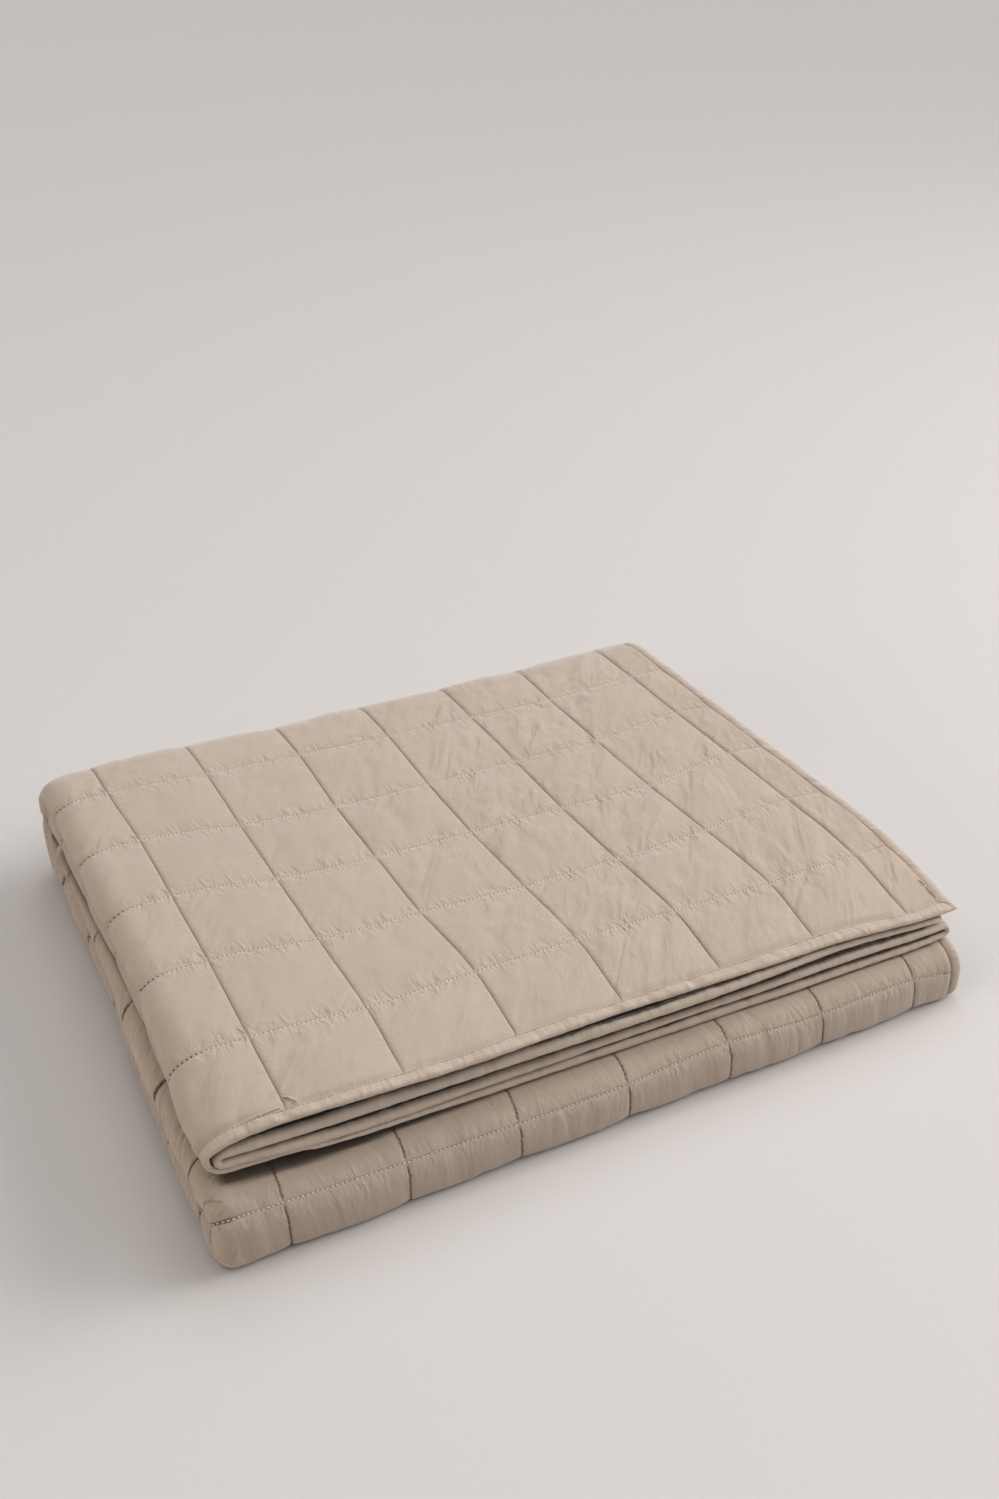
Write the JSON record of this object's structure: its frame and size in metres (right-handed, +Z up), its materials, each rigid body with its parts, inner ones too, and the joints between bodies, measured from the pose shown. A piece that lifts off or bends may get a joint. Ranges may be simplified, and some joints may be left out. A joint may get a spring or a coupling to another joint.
{
  "type": "quilted bed cover",
  "caption": "Quilted cotton bed cover with bound edges, folded into a soft flat stack.",
  "frame": {"origin": "centre of the folded stack's footprint, on the surface it rests on", "axes": "+Z up, +X to the right along the front edge, where the bound edges show, +Y to the back fold"},
  "size_m": [0.6292, 0.5419, 0.1037],
  "materials": {
    "quilted_cotton": "soft washed cotton, matt, warm beige, quilted in squares",
    "cotton_binding": "soft washed cotton, matt, warm beige"
  },
  "bodies": {
    "root": {"quilted_sheet": "quilted_cotton", "binding_front_end": "cotton_binding", "binding_inside_end": "cotton_binding", "binding_outer_side": "cotton_binding", "binding_inner_side": "cotton_binding"}
  },
  "joints": []
}
